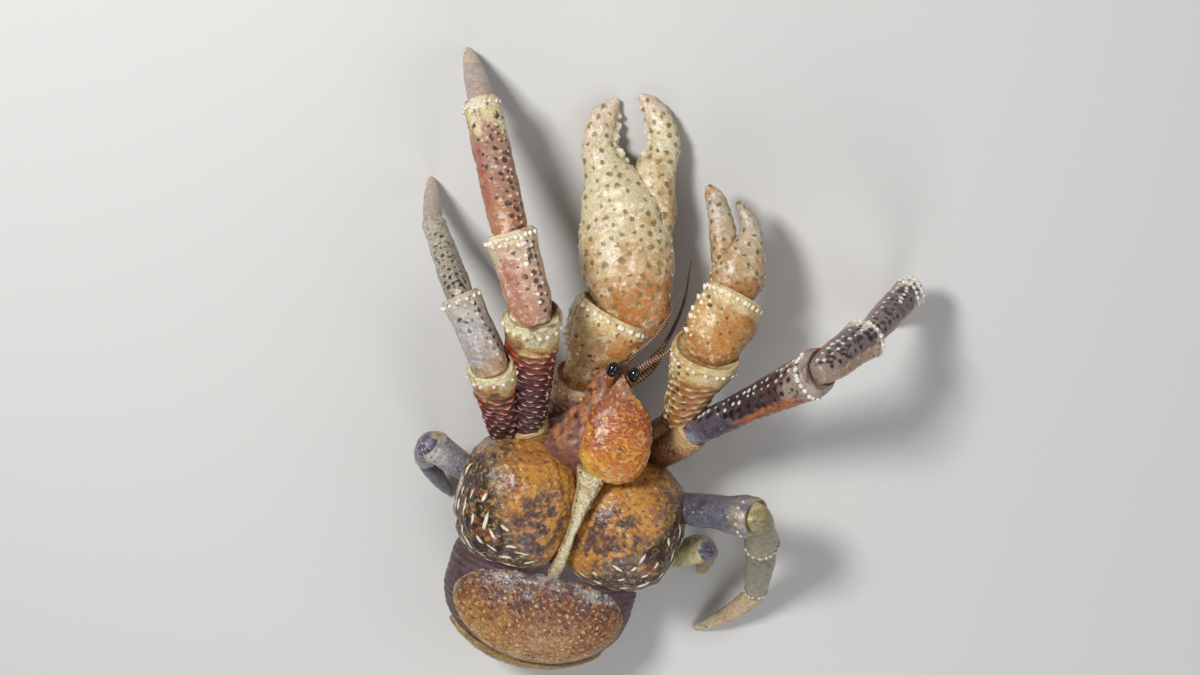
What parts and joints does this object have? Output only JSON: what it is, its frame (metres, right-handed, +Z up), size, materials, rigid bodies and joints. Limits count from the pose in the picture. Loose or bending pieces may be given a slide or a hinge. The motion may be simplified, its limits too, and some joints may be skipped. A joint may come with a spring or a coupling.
{
  "type": "coconut crab model",
  "caption": "Life-size coconut crab standing with both claws reached forward, its legs spread and its abdomen resting behind it, as a still display model.",
  "frame": {"origin": "the point on the floor under the middle of the whole crab", "axes": "+Z up from the floor; +Y towards the claws and the head end; +X to the crab's right side"},
  "size_m": [0.391, 0.4947, 0.1609],
  "materials": {
    "shield_shell": "orange-red shell with yellow mottling, satin",
    "lobe_shell": "golden and purple-brown mottled shell, satin",
    "pale_shell": "pale cream shell, matt",
    "tergite_shell": "brown plate with pale granules, satin",
    "soft_skin": "wrinkled dusky purple-brown skin, matt",
    "claw_shell": "cream shell with small dark olive spots, satin",
    "arm_shell": "ochre and cream shell with red-brown streaks, satin",
    "leg_shell": "cream, pink-brown and purple spotted shell, satin",
    "dusky_shell": "dusky purple-blue shell with pale studs, satin",
    "tip_shell": "cream to orange horn, satin",
    "eye": "glossy black",
    "feeler_shell": "red-brown, matt"
  },
  "bodies": {
    "root": {"carapace_shield": "shield_shell", "carapace_lobe_l": "lobe_shell", "carapace_lobe_r": "lobe_shell", "carapace_strip": "pale_shell", "thorax": "soft_skin", "abdomen_soft": "soft_skin", "tergite_1": "tergite_shell", "tergite_2": "tergite_shell", "tergite_3": "tergite_shell", "tergite_4": "tergite_shell", "telson": "tergite_shell", "eye_l": "eye", "eye_r": "eye", "eyestalk_l": "feeler_shell", "eyestalk_r": "feeler_shell", "antennule_l": "feeler_shell", "antennule_r": "feeler_shell", "antenna_l": "feeler_shell", "antenna_r": "feeler_shell", "maxilliped_l": "arm_shell", "maxilliped_r": "arm_shell", "claw_l_hip": "arm_shell", "claw_l_merus": "arm_shell", "claw_l_carpus": "arm_shell", "claw_l_palm": "claw_shell", "claw_l_finger": "claw_shell", "claw_r_hip": "arm_shell", "claw_r_merus": "arm_shell", "claw_r_carpus": "arm_shell", "claw_r_palm": "claw_shell", "claw_r_finger": "claw_shell", "leg_2_l_hip": "leg_shell", "leg_2_l_merus": "leg_shell", "leg_2_l_carpus": "leg_shell", "leg_2_l_propodus": "leg_shell", "leg_2_l_dactyl": "tip_shell", "leg_2_r_hip": "leg_shell", "leg_2_r_merus": "dusky_shell", "leg_2_r_carpus": "leg_shell", "leg_2_r_propodus": "dusky_shell", "leg_2_r_dactyl": "tip_shell", "leg_3_l_hip": "leg_shell", "leg_3_l_merus": "leg_shell", "leg_3_l_carpus": "leg_shell", "leg_3_l_propodus": "leg_shell", "leg_3_l_dactyl": "tip_shell", "leg_3_r_hip": "dusky_shell", "leg_3_r_merus": "dusky_shell", "leg_3_r_carpus": "dusky_shell", "leg_3_r_propodus": "dusky_shell", "leg_3_r_dactyl": "tip_shell", "leg_4_l_merus": "dusky_shell", "leg_4_l_carpus": "dusky_shell", "leg_4_l_hand": "tip_shell", "leg_4_r_merus": "dusky_shell", "leg_4_r_carpus": "dusky_shell", "leg_4_r_hand": "tip_shell"}
  },
  "joints": []
}
